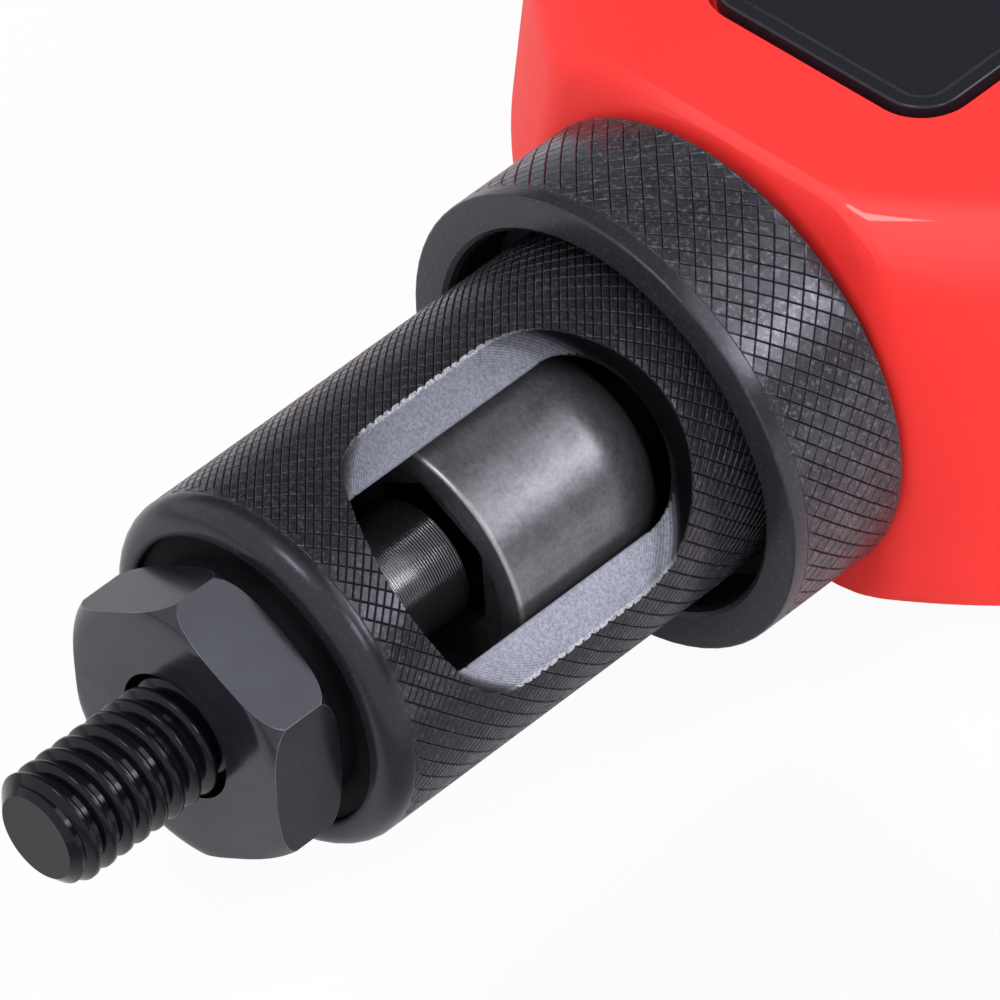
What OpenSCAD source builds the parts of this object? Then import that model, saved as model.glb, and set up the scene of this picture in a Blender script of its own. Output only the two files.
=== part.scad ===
// Two-handle rivet nut setter. The nose points along -Y, the badge faces +Z, and the origin lies
// on the nose axis in the front face of the anvil. The handles are closed, the mandrel drawn back.

/* [Mandrel and anvil] */
// Radius of the mandrel over its thread crests
mandrel_r = 3.97; // [3.6:0.01:4.1]
// Reach of the mandrel out of the anvil
mandrel_reach = 11.75; // [8:0.25:16]
// Chamfer on the mandrel's tip
mandrel_tip = 1; // [0.5:0.1:1.4]
// Radius of the anvil's hole
anvil_bore_r = 4.43; // [4.3:0.01:4.7]
// Hexagon of the anvil across its flats
anvil_af = 17.5; // [16.5:0.5:19]
// Thickness of the anvil's hexagon
anvil_hex_t = 5.5; // [4:0.1:7]
// Radius of the round front face of the anvil
anvil_face_r = 8.6; // [7:0.1:8.7]
// Length of the neck between the hexagon and the sleeve
anvil_neck_l = 0.9; // [0.8:0.1:2]

/* [Nose sleeve] */
// Outer radius of the sleeve over its knurl
sleeve_r = 12.34; // [12.2:0.02:12.8]
// Radius of the sleeve's main bore
sleeve_bore_r = 10.2; // [10:0.05:10.4]
// Rounding of the sleeve's front edge
sleeve_round = 1.7; // [1:0.1:1.9]
// Radius of the thread on the sleeve's tail
thread_r = 12; // [11.6:0.05:12.1]
// Length of the thread inside the head
thread_l = 10.6; // [9:0.2:14]
// Radius of the cutter that sinks the window
window_r = 11.85; // [11:0.05:12.5]
// Corner radius of that cutter
window_corner = 1.6; // [0.4:0.1:2]
// Height of the window's flat floor above the nose axis
window_floor = 8.1; // [7.6:0.1:8.8]
// Middle of the window behind the sleeve's front
window_run = 16.75; // [16:0.25:18]
// Turn of the window from the badge side
window_turn = 45; // [0:5:90]

/* [Release sleeve] */
// Radial gap between the release sleeve and the bore
release_gap = 0.8; // [0.4:0.1:1]
// Length of the release sleeve up to its dome
release_l = 9.2; // [8:0.1:10]
// Radius of the dome on its rear edge
dome_r = 7; // [5:0.1:7.5]
// Travel of the release sleeve
release_travel = 3; // [2:0.1:3.2]
// Hexagon of the mandrel's drive across its flats
drive_af = 9.8; // [9:0.1:10]
// Radius of the spring's wire
wire_r = 0.35; // [0.25:0.05:0.4]

/* [Lock ring] */
// Outer radius of the lock ring over its knurl
lock_r = 16.4; // [15.6:0.05:16.8]
// Width of the lock ring
lock_w = 10; // [9:0.5:14]
// Front of the lock ring behind the sleeve's front
lock_run = 31; // [30:0.5:34]
// Radius where the front rim meets the bevel
rim_r = 14.1; // [14:0.1:15]
// Radius of the counterbore round the sleeve
counter_r = 13.6; // [13.3:0.1:13.9]

/* [Head] */
// Thickness of each cheek of the head
cheek_t = 6; // [5.5:0.5:8]
// Thickness of the side walls
side_wall = 6; // [5:0.5:8]
// Radius of the curved flanks
flank_r = 53; // [50:1:60]
// Distance from the front of the head to its widest place
flank_run = 43.8; // [40:0.2:46]
// Slope of the side walls
draft = 8; // [4:0.5:9]
// Rounding of the long edges
edge_r = 5; // [3:0.5:5.5]
// Rounding of the rear corners
corner_r = 9; // [6:0.5:11]
// Half width of the badge
badge_half_w = 9.8; // [8:0.1:12]
// Length of the badge
badge_l = 38; // [30:1:42]
// Front of the badge behind the front of the head
badge_run = 9.8; // [7:0.2:12]
// Rounding of the badge's corners
badge_round = 3; // [1:0.5:5]
// Thickness of the badge
badge_t = 1.6; // [1:0.1:2]

/* [Drawbar and crosshead] */
// Radius of the drawbar in its bush
rod_r = 6.4; // [6:0.1:6.8]
// Outer radius of the drawbar's bush
bush_r = 9; // [8:0.1:10]
// Length of the drawbar's bush
bush_l = 8; // [6:0.5:12]
// Radius of the drawbar's tail
tail_r = 4.5; // [3.8:0.1:4.8]
// Length of the crosshead block
block_l = 10; // [9:0.5:14]
// Half width of the crosshead block
block_half_w = 12; // [11.5:0.5:13]
// Thickness of each crosshead plate
plate_t = 4.2; // [4:0.1:6]

/* [Levers] */
// Distance of each fulcrum pin from the nose axis
fulcrum_x = 14; // [13:0.5:16]
// Radius of the fulcrum pins
pivot_r = 5; // [4:0.1:5.4]
// Radius of the lever hubs
hub_r = 9.5; // [9:0.1:10.5]
// Distance from a fulcrum pin to its drive pin
drive_r = 12; // [11.6:0.1:13]
// Radius of the drive pins
drive_pin_r = 3.5; // [2.5:0.1:3.6]
// Swing of the levers to each side of square
half_swing = 21; // [18:0.5:21.5]
// Thickness of the levers
lever_t = 12; // [11:0.5:14]
// Width of the levers' necks
neck_w = 12; // [10:0.5:12.5]

/* [Handles] */
// Distance of each handle from the nose axis where its tube starts
handle_x = 34; // [30:0.5:40]
// Start of the tubes behind the fulcrum pins
tube_run = 63; // [60:1:70]
// Outward slope of the handles
splay = 2; // [0:0.5:5]
// Outer radius of the handle tubes
tube_r = 10; // [9.5:0.1:11]
// Wall of the handle tubes
tube_wall = 2; // [1.5:0.1:2.5]
// Length of the handle tubes
tube_l = 181; // [150:1:220]
// Length of the grips over the tubes
grip_l = 121; // [100:1:130]
// Thickness of the closed ends of the grips
grip_end_t = 4; // [3:0.5:6]
// Depth of the grooves between the ribs of the grips
groove_d = 1.2; // [0.6:0.1:1.6]

/* [Clearances] */
// Radial clearance of shafts that turn or slide in bores
run_gap = 0.05; // [0.02:0.01:0.08]
// Clearance of the drive pins in their slots
slot_gap = 0.15; // [0.1:0.01:0.2]
// Clearance between neighbours that pass each other
pass_gap = 0.3; // [0.2:0.05:0.4]
// Clearance at the ends of strokes
end_gap = 0.6; // [0.4:0.1:1]

/* [Hidden] */
$fn = 64;

black_steel = [0.16, 0.16, 0.18];
bare_steel = [0.62, 0.63, 0.66];
bronze = [0.72, 0.52, 0.28];
red = [0.95, 0.12, 0.11];
black_rubber = [0.07, 0.07, 0.08];

// Overrun of cutters and of joined pieces
over = 1;

// Stations along the nose axis
stroke = 2 * drive_r * sin(half_swing);
sleeve_front = anvil_hex_t + anvil_neck_l;
window_y = sleeve_front + window_run;
window_front = window_y - window_r;
release_front = window_front + stroke + end_gap;
release_r = sleeve_bore_r - release_gap;
dome_y = release_front + release_l;
lock_front = sleeve_front + lock_run;
counter_d = 4.6;
head_front = lock_front + lock_w;
bush_y = head_front + thread_l;
cavity_y = bush_y + bush_l;
block_y = cavity_y + end_gap + stroke;
block_mid = block_y + block_l / 2;
block_rear = block_y + block_l;
fulcrum_y = block_rear + pass_gap + hub_r;

// Stations inside the release sleeve
release_mouth = 1.2;
release_wall = 2.8;
end_play = 0.2;
spring_play = 0.25;
hex_wall_y = release_front + release_mouth;
pocket_y = hex_wall_y + release_wall;
drawbar_front = hex_wall_y + release_wall / 2 + end_play;
collar_t = 1.2;
coils = 3.5;
coil_room = 0.4;
collar_y = pocket_y + release_travel + (2 * coils + coil_room) * wire_r;
ring_y = collar_y + collar_t + end_play;
ring_t = 0.8;
pocket_r = drive_af / sqrt(3) + 2 * wire_r + spring_play;
ring_groove = 0.5;
waist_spare = 3.1;
rod_front = ring_y + ring_t + release_travel + waist_spare;
stub_r = 3;
stub_l = 12;
stub_room = 0.5;

// Half heights of the layers from the middle plane outwards
lever_z = lever_t / 2;
plate_z = lever_z + pass_gap;
cavity_z = plate_z + plate_t + end_gap;
head_z = cavity_z + cheek_t;
grip_r = head_z;

// Plan of the head and the crosshead
slot_r = drive_pin_r + slot_gap;
prong_wall = 2.6;
slot_play = 0.2;
prong_x = fulcrum_x + drive_r + slot_play + slot_r + prong_wall;
cavity_x = prong_x + end_gap + pass_gap;
head_half_w = cavity_x + side_wall;
widest_y = head_front + flank_run;
// Lean of the front for each millimetre the flanks draw in
front_lean = 0.3;
slot_y = fulcrum_y + drive_r * sin(half_swing);
plate_rear = slot_y + slot_r + prong_wall;
head_rear = plate_rear + pass_gap;
pin_flange_t = 1.6;
pin_flange_w = 1.9;
pin_flange_r = pivot_r + pin_flange_w;
flange_play = 0.1;
clip_t = 0.9;
clip_depth = 0.5;

// Fulcrum pins from the underside up: clip, flange, shank in a blind bore
clip_lip = 0.5;
clip_z = clip_lip - head_z;
flange_z = clip_z + clip_t;
pin_roof = 2.5;
pin_top = head_z - pin_roof;
flange_bore_r = pin_flange_r + flange_play;
clip_r = flange_bore_r + clip_depth;
bush_wall = 1.5;

// Badge in its recess
badge_y = head_front + badge_run;
badge_rise = 0.4;
badge_floor = head_z + badge_rise - badge_t;
badge_groove = 0.6;

// Handle stations, along each handle from the start of its tube
tube_y = fulcrum_y + tube_run;
bend_run = 25;
bend = [fulcrum_x, fulcrum_y + bend_run];
boss_l = 14;
spigot_l = 45;
tube_pin_r = 2.5;
tube_pin_s = [14, 32];

// Points of an arc round c from angle a0 to a1
function arc(c, r, a0, a1, n) = [for (i = [0:n])
    let (a = a0 + (a1 - a0) * i / n) c + r * [cos(a), sin(a)]];

// Closed outline from its right half
function mirrored(half) = concat(half, [for (i = [len(half) - 1:-1:0]) [-half[i][0], half[i][1]]]);

// Right half of the head's plan, drawn in by inset
function head_half(inset) =
    let (r = flank_r - inset, c = [head_half_w - flank_r, widest_y], lean = front_lean * inset,
        a0 = -asin((flank_run - lean) / r), k = corner_r - inset / 2)
    concat([[0, head_front + lean]],
        arc(c, r, a0, 0, 14),
        arc([head_half_w - inset - k, head_rear - inset - k], k, 0, 90, 5));

// Solid from y0 to y1 along the nose axis
module rod(r, y0, y1) {
    translate([0, y0, 0]) rotate([-90, 0, 0]) cylinder(r = r, h = y1 - y0);
}

// Hexagonal prism along the nose axis with a corner towards the badge side
module hex_rod(af, y0, y1) {
    translate([0, y0, 0]) rotate([-90, 30, 0]) cylinder(r = af / sqrt(3), h = y1 - y0, $fn = 6);
}

// Revolves a profile of radius and station round the nose axis
module lathe(profile) {
    rotate([-90, 0, 0]) rotate_extrude() polygon(profile);
}

// Plate between two heights
module slab(z0, z1) {
    translate([0, 0, z0]) linear_extrude(height = z1 - z0) children();
}

// Straight bar from p to q in the plan
module bar(p, q, w) {
    translate(p) rotate(atan2(q[1] - p[1], q[0] - p[0]))
        translate([0, -w / 2]) square([norm(q - p), w]);
}

// Rounded outline of the badge, drawn in by inset
module badge_plan(inset) {
    least_r = 0.5;
    half_w = badge_half_w - inset;
    l = badge_l - 2 * inset;
    r = max(badge_round - inset, least_r);
    translate([0, badge_y + inset]) {
        translate([r - half_w, 0]) square([2 * (half_w - r), l]);
        translate([-half_w, r]) square([2 * half_w, l - 2 * r]);
        for (x = [r - half_w, half_w - r], y = [r, l - r]) translate([x, y]) circle(r);
    }
}

// Frame of a handle: its tube starts at the origin and runs along +Y
module handle_frame() {
    translate([handle_x, tube_y, 0]) rotate([0, 0, -splay]) children();
}

// Draws the right-hand shape, or its mirror image on the left
module on_side(side) {
    if (side > 0) children();
    else mirror([1, 0, 0]) children();
}

// Crowned outer skin of the head: plans stacked from the middle plane to both faces
module head_skin() {
    flat_z = head_z - edge_r;
    slope = tan(draft);
    skin = 0.02;
    hull() {
        slab(-skin, skin) polygon(mirrored(head_half(0)));
        for (a = [0:18:90], s = [-1, 1]) {
            z = flat_z + edge_r * sin(a);
            inset = flat_z * slope + edge_r * (1 - cos(a));
            slab(s > 0 ? z - skin : -z, s > 0 ? z : skin - z) polygon(mirrored(head_half(inset)));
        }
    }
}

module head_housing() {
    spout_r = lock_r - 0.5;
    spout_l = 7;
    front_turn = -60;
    color(red) difference() {
        union() {
            head_skin();
            rod(spout_r, head_front, head_front + spout_l);
        }
        rod(thread_r + run_gap, head_front - over, bush_y);
        rod(bush_r, bush_y - over, cavity_y + over);
        slab(-cavity_z, cavity_z) intersection() {
            polygon(mirrored(concat(
                arc([head_half_w - flank_r, widest_y], flank_r - side_wall, front_turn, 0, 14),
                [[cavity_x, head_rear + over]])));
            translate([-head_half_w, cavity_y]) square([2 * head_half_w, head_rear]);
        }
        slab(badge_floor, head_z + over) badge_plan(-badge_groove);
        for (x = [-fulcrum_x, fulcrum_x]) translate([x, fulcrum_y, 0]) {
            translate([0, 0, -head_z - over]) {
                cylinder(r = pivot_r, h = pin_top + head_z + over);
                cylinder(r = flange_bore_r, h = flange_z + pin_flange_t + head_z + over);
            }
            translate([0, 0, clip_z]) cylinder(r = clip_r, h = clip_t);
        }
    }
}

module badge_plate() {
    rim_w = 1.3;
    rim_h = 0.3;
    color(black_rubber) difference() {
        slab(badge_floor, badge_floor + badge_t) badge_plan(0);
        slab(badge_floor + badge_t - rim_h, badge_floor + badge_t + over) badge_plan(rim_w);
    }
}

module pivot_pins() {
    color(bare_steel) for (x = [-fulcrum_x, fulcrum_x]) translate([x, fulcrum_y, flange_z]) {
        cylinder(r = pin_flange_r, h = pin_flange_t);
        cylinder(r = pivot_r, h = pin_top - flange_z);
    }
}

module pivot_clips() {
    slit = 2.4;
    color(black_steel) for (x = [-fulcrum_x, fulcrum_x])
        translate([x, fulcrum_y, clip_z]) difference() {
            cylinder(r = clip_r, h = clip_t);
            translate([0, 0, -over]) cylinder(r = pivot_r, h = clip_t + 2 * over);
            translate([-slit / 2, 0, -over]) cube([slit, 2 * clip_r, clip_t + 2 * over]);
        }
}

module drawbar_bush() {
    color(bronze) difference() {
        rod(bush_r, bush_y, cavity_y);
        rod(rod_r + run_gap, bush_y - over, cavity_y + over);
    }
}

module lock_ring() {
    bevel_l = 0.6;
    edge = 0.25;
    floor_y = lock_front + counter_d;
    bore_r = thread_r + run_gap;
    color(black_steel) lathe([[counter_r, lock_front + bevel_l], [rim_r, lock_front],
        [lock_r - edge, lock_front], [lock_r, lock_front + edge], [lock_r, head_front - edge],
        [lock_r - edge, head_front], [bore_r, head_front], [bore_r, floor_y], [counter_r, floor_y]]);
}

module nose_sleeve() {
    body_end = lock_front + counter_d - end_gap;
    end_r = dome_r + 1.5;
    end_c = [sleeve_bore_r - end_r, dome_y + release_travel + dome_r + release_gap - end_r];
    guide_r = rod_r + release_gap;
    meet = acos((guide_r - end_c[0]) / end_r);
    color(black_steel) difference() {
        lathe(concat([[sleeve_bore_r, sleeve_front]],
            arc([sleeve_r - sleeve_round, sleeve_front + sleeve_round], sleeve_round, -90, 0, 6),
            [[sleeve_r, body_end], [thread_r, body_end], [thread_r, bush_y - end_gap],
                [guide_r, bush_y - end_gap]],
            arc(end_c, end_r, meet, 0, 8)));
        translate([0, window_y, 0]) rotate([0, window_turn, 0]) rotate([90, 0, 0])
            lathe(concat([[0, window_floor]],
                arc([window_r - window_corner, window_floor + window_corner], window_corner, -90, 0, 6),
                [[window_r, window_floor + sleeve_r], [0, window_floor + sleeve_r]]));
    }
}

module anvil() {
    hex_r = anvil_af / sqrt(3);
    chamfer_l = 1.4;
    seat_r = sleeve_bore_r - run_gap;
    neck_r = anvil_af / 2 - 0.2;
    seat_y = sleeve_front + 0.6;
    skim = 0.05;
    color(black_steel) difference() {
        union() {
            intersection() {
                hex_rod(anvil_af, 0, anvil_hex_t);
                lathe([[0, 0], [anvil_face_r, 0], [hex_r + skim, chamfer_l],
                    [hex_r + skim, anvil_hex_t - chamfer_l], [anvil_face_r, anvil_hex_t],
                    [0, anvil_hex_t]]);
            }
            rod(neck_r, anvil_hex_t - over, seat_y);
            rod(seat_r, seat_y, window_front - pass_gap);
        }
        rod(anvil_bore_r, -over, window_front + over);
    }
}

module mandrel() {
    shank_y = 9;
    shank_r = anvil_bore_r - 0.2;
    relief_d = 0.4;
    relief_r = mandrel_r - relief_d;
    hex_y = drawbar_front - 2;
    color(black_steel) union() {
        lathe([[0, -mandrel_reach], [mandrel_r - mandrel_tip, -mandrel_reach],
            [mandrel_r, mandrel_tip - mandrel_reach], [mandrel_r, 0], [relief_r, 0],
            [relief_r, shank_y], [shank_r, shank_y], [shank_r, hex_y], [0, hex_y]]);
        hex_rod(drive_af, hex_y, drawbar_front);
        rod(stub_r, drawbar_front - over, drawbar_front + stub_l);
    }
}

module drawbar() {
    waist_r = drive_af / 2 - pass_gap;
    hex_l = release_travel + 1.6;
    color(bare_steel) difference() {
        union() {
            hex_rod(drive_af, drawbar_front, drawbar_front + hex_l);
            rod(waist_r, drawbar_front + over, rod_front + over);
            rod(pocket_r - slot_gap, collar_y, collar_y + collar_t);
            rod(rod_r, rod_front, block_y);
            rod(tail_r, block_y - over, block_rear);
        }
        rod(stub_r, drawbar_front - over, drawbar_front + stub_l + stub_room);
        cross_pin(block_half_w + over);
    }
}

// Pin through the block and the drawbar's tail, reaching out by half_l to each side
module cross_pin(half_l) {
    pin_r = 1.6;
    translate([-half_l, block_mid, 0]) rotate([0, 90, 0]) cylinder(r = pin_r, h = 2 * half_l);
}

module drawbar_pin() {
    color(bare_steel) cross_pin(block_half_w - end_gap);
}

// Countersunk crosshead screws, made longer by grow for the holes that take them
module screws(grow) {
    screw_x = (tail_r + block_half_w) / 2;
    head_r = 3.6;
    shank_r = 2;
    root_z = 2.2;
    for (x = [-screw_x, screw_x], s = [-1, 1])
        translate([x, block_mid, 0]) rotate([s > 0 ? 0 : 180, 0, 0]) {
            translate([0, 0, root_z - grow]) cylinder(r = shank_r, h = plate_z + plate_t - root_z);
            translate([0, 0, plate_z + plate_t - head_r + shank_r])
                cylinder(r1 = shank_r, r2 = head_r, h = head_r - shank_r);
        }
}

module crosshead_block() {
    color(bare_steel) difference() {
        translate([-block_half_w, block_y, -plate_z]) cube([2 * block_half_w, block_l, 2 * plate_z]);
        rod(tail_r, block_y - over, block_rear + over);
        cross_pin(block_half_w + over);
        screws(pass_gap);
    }
}

// Plate of the crosshead: two prongs with drive slots, notched round the fulcrum pins
module crosshead_plan() {
    notch_r = pivot_r + pass_gap;
    shoulder = 1.5;
    prong_chamfer = 2;
    root_step = 1;
    difference() {
        polygon(mirrored([[block_half_w + root_step, block_y], [prong_x, fulcrum_y - shoulder],
            [prong_x, plate_rear - prong_chamfer], [prong_x - prong_chamfer, plate_rear],
            [fulcrum_x, plate_rear]]));
        translate([-fulcrum_x - notch_r, fulcrum_y]) square([2 * (fulcrum_x + notch_r), 3 * hub_r]);
        for (s = [-1, 1]) {
            translate([s * fulcrum_x, fulcrum_y]) circle(notch_r);
            for (x = [drive_r * cos(half_swing) - slot_play, drive_r + slot_play])
                translate([s * (fulcrum_x + x), slot_y]) circle(slot_r);
            translate([s * (fulcrum_x + drive_r * (1 + cos(half_swing)) / 2), slot_y])
                square([drive_r * (1 - cos(half_swing)) + 2 * slot_play, 2 * slot_r], center = true);
        }
    }
}

module crosshead_upper_plate() {
    color(bare_steel) difference() {
        slab(plate_z, plate_z + plate_t) crosshead_plan();
        screws(0);
    }
}

module crosshead_lower_plate() {
    color(bare_steel) difference() {
        slab(-plate_z - plate_t, -plate_z) crosshead_plan();
        screws(0);
    }
}

module crosshead_screws() {
    color(black_steel) screws(0);
}

module release_sleeve() {
    rear = dome_y + sqrt(dome_r * dome_r - pow(pocket_r - release_r + dome_r, 2));
    dome_end = acos((pocket_r - release_r + dome_r) / dome_r);
    mouth_r = release_r - 1.9;
    core_r = 1;
    edge = 0.6;
    groove_r = pocket_r + ring_groove;
    color(bare_steel) difference() {
        lathe(concat([[mouth_r, release_front], [release_r - edge, release_front],
            [release_r, release_front + edge]],
            arc([release_r - dome_r, dome_y], dome_r, 0, dome_end, 8),
            [[pocket_r, ring_y + ring_t], [groove_r, ring_y + ring_t], [groove_r, ring_y],
                [pocket_r, ring_y], [pocket_r, pocket_y], [core_r, pocket_y],
                [core_r, hex_wall_y], [mouth_r, hex_wall_y]]));
        hex_rod(drive_af + 2 * slot_gap, hex_wall_y - over, pocket_y + over);
    }
}

// Helical spring: rings of points round the wire, joined into one closed skin
module release_spring() {
    sides = 6;
    steps = 84;
    mean_r = pocket_r - wire_r - spring_play / 2;
    y0 = pocket_y + wire_r;
    y1 = collar_y - wire_r;
    points = [for (i = [0:steps], k = [0:sides - 1])
        let (turn = 360 * coils * i / steps, a = 360 * k / sides, r = mean_r + wire_r * cos(a))
        [r * cos(turn), y0 + (y1 - y0) * i / steps + wire_r * sin(a), r * sin(turn)]];
    skin = [for (i = [0:steps - 1], k = [0:sides - 1])
        let (a = i * sides, b = (i + 1) * sides, n = (k + 1) % sides)
        [a + k, a + n, b + n, b + k]];
    ends = [[for (k = [sides - 1:-1:0]) k], [for (k = [0:sides - 1]) steps * sides + k]];
    color(bare_steel) polyhedron(points, concat(skin, ends));
}

module release_ring() {
    slit = 1.6;
    color(bare_steel) difference() {
        rod(pocket_r + ring_groove, ring_y, ring_y + ring_t);
        rod(drive_af / 2, ring_y - over, ring_y + ring_t + over);
        translate([-slit / 2, ring_y - over, 0]) cube([slit, ring_t + 2 * over, 2 * pocket_r]);
    }
}

// Lever plan: hub, eye for the drive pin, and the arm that bends out to the handle
module lever_plan() {
    hub = [fulcrum_x, fulcrum_y];
    eye = hub + drive_r * [cos(half_swing), sin(half_swing)];
    eye_r = drive_pin_r + 2.8;
    web_w = 2 * eye_r - 1;
    arm_w = neck_w + 2;
    arm_end = [handle_x - boss_l * sin(splay) / 2, tube_y - boss_l / 2];
    difference() {
        union() {
            translate(hub) circle(hub_r);
            translate(eye) circle(eye_r);
            bar(hub, eye, web_w);
            bar(hub, bend, neck_w);
            translate(bend) circle(arm_w / 2);
            bar(bend, arm_end, arm_w);
        }
        translate(hub) circle(pivot_r + bush_wall);
        translate(eye) circle(drive_pin_r);
    }
}

module tube_pin_holes(reach) {
    for (s = tube_pin_s) translate([0, s, -reach]) cylinder(r = tube_pin_r, h = 2 * reach);
}

module lever(side) {
    color(black_steel) on_side(side) {
        slab(-lever_z, lever_z) lever_plan();
        handle_frame() difference() {
            union() {
                rod(tube_r, -boss_l, 0);
                rod(tube_r - tube_wall, -over, spigot_l);
            }
            tube_pin_holes(2 * tube_r);
        }
    }
}

module left_lever() {
    lever(-1);
}

module right_lever() {
    lever(1);
}

module lever_bush(side) {
    color(bronze) translate([side * fulcrum_x, fulcrum_y, -lever_z]) difference() {
        cylinder(r = pivot_r + bush_wall, h = lever_t);
        translate([0, 0, -over]) cylinder(r = pivot_r + run_gap, h = lever_t + 2 * over);
    }
}

module left_bush() {
    lever_bush(-1);
}

module right_bush() {
    lever_bush(1);
}

module drive_pin(side) {
    half_l = plate_z + plate_t;
    color(bare_steel) on_side(side)
        translate([fulcrum_x + drive_r * cos(half_swing), slot_y, -half_l])
            cylinder(r = drive_pin_r, h = 2 * half_l);
}

module left_drive_pin() {
    drive_pin(-1);
}

module right_drive_pin() {
    drive_pin(1);
}

module tube(side) {
    color(black_steel) on_side(side) handle_frame() difference() {
        rod(tube_r, 0, tube_l);
        rod(tube_r - tube_wall, -over, tube_l + over);
        tube_pin_holes(2 * tube_r);
    }
}

module left_tube() {
    tube(-1);
}

module right_tube() {
    tube(1);
}

module tube_pins(side) {
    color(bare_steel) on_side(side) handle_frame() tube_pin_holes(tube_r);
}

module left_tube_pins() {
    tube_pins(-1);
}

module right_tube_pins() {
    tube_pins(1);
}

// Ribbed grip with a rounded lip, closed over the end of its tube
module grip(side) {
    front = tube_l - grip_l;
    rear = tube_l + grip_end_t;
    lip_r = 1.5;
    lip_step = 1;
    lip_l = 6;
    lip_slope = 4;
    rib_start = front + 22;
    ribs = 9;
    pitch = 9;
    rib_w = 6;
    rib_slope = 0.6;
    tail_l = 8;
    tail_slope = 2;
    tail_round = 4;
    groove_r = grip_r - groove_d;
    lip_outer = grip_r - lip_step;
    color(black_rubber) on_side(side) handle_frame() lathe(concat(
        [[tube_r, front]],
        arc([lip_outer - lip_r, front + lip_r], lip_r, -90, 0, 4),
        [[lip_outer, front + lip_l], [groove_r, front + lip_l + lip_slope]],
        [for (i = [0:ribs - 1]) let (y = rib_start + pitch * i)
            each [[groove_r, y - rib_slope], [grip_r, y], [grip_r, y + rib_w],
                [groove_r, y + rib_w + rib_slope]]],
        [[groove_r, rear - tail_l - tail_slope], [grip_r, rear - tail_l]],
        arc([grip_r - tail_round, rear - tail_round], tail_round, 0, 90, 5),
        [[0, rear], [0, tube_l], [tube_r, tube_l]]));
}

module left_grip() {
    grip(-1);
}

module right_grip() {
    grip(1);
}

head_housing();
badge_plate();
pivot_pins();
pivot_clips();
drawbar_bush();
lock_ring();
nose_sleeve();
anvil();
mandrel();
drawbar();
drawbar_pin();
crosshead_block();
crosshead_upper_plate();
crosshead_lower_plate();
crosshead_screws();
release_sleeve();
release_spring();
release_ring();
left_lever();
right_lever();
left_bush();
right_bush();
left_drive_pin();
right_drive_pin();
left_tube();
right_tube();
left_tube_pins();
right_tube_pins();
left_grip();
right_grip();
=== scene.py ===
# %% [markdown]
# # A rivet nut setter, dressed in Blender
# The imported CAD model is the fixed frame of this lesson. Every piece below is drawn in millimetres in
# the same frame: the nose points along -Y, the badge faces +Z, and the origin lies on the nose axis in
# the front face of the anvil. A piece that is drawn finer than the CAD solid replaces that node, and
# all the others keep their shape and only get softer edges and a finish.

# %% Load the frame
import math

import bmesh
import bpy
from mathutils import Matrix, Vector


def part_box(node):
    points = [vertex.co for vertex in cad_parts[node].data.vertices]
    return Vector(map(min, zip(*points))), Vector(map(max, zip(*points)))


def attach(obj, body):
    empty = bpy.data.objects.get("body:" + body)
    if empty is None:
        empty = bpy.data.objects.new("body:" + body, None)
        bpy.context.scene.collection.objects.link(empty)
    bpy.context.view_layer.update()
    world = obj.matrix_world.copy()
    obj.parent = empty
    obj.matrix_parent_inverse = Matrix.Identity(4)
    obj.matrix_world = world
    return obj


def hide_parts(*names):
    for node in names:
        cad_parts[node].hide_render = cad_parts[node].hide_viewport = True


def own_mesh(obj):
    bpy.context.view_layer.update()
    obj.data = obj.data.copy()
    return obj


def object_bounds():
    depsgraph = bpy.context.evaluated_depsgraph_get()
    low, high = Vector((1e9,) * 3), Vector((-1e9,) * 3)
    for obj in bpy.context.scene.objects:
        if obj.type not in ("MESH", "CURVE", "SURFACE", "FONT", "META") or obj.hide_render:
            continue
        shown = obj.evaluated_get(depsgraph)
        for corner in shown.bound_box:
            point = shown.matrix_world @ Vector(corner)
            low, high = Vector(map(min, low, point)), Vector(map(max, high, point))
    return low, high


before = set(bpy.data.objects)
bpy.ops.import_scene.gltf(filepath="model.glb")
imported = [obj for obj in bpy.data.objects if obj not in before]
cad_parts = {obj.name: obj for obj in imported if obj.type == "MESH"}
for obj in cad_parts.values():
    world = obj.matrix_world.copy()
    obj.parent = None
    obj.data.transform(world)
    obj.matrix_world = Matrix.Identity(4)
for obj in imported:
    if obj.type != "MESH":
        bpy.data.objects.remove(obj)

cad_low, cad_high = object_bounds()
print("CAD box in mm:", [round(1000 * (b - a), 1) for a, b in zip(cad_low, cad_high)])

# %% [markdown]
# ## Camera
# The photograph was taken from in front, to the right and above, with a long lens. Its place was found
# by fitting the round edges of the nose, so the three axes of the camera are written as one matrix. A
# camera that is only pointed at the object would lose the small roll of the real one.

# %% Camera
MM = 0.001
SENSOR_W, LENS, NEAREST = 36.0, 429.0, 0.01
CAMERA_PLACE = Vector((399.4, -343.5, 495.0))
camera_data = bpy.data.cameras.new("camera")
camera_data.sensor_width = SENSOR_W
camera_data.lens = LENS
camera_data.clip_start = NEAREST
camera = bpy.data.objects.new("camera", camera_data)
bpy.context.scene.collection.objects.link(camera)
across = Vector((0.7149, 0.6971, -0.0533))
back = Vector((0.5421, -0.5046, 0.6720)).normalized()
across = (across - across.dot(back) * back).normalized()
upward = back.cross(across)
turn = Matrix((across, upward, back)).transposed().to_4x4()
camera.matrix_world = Matrix.Translation(CAMERA_PLACE * MM) @ turn
bpy.context.scene.camera = camera
print("camera looks along", [round(-c, 3) for c in back])

# %% [markdown]
# ## Shader maths
# A finish is easier to read as arithmetic than as a picture of wires. The class below holds one socket
# of a node tree. Adding or multiplying two of them adds Math nodes, and one method adds any other node.

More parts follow.
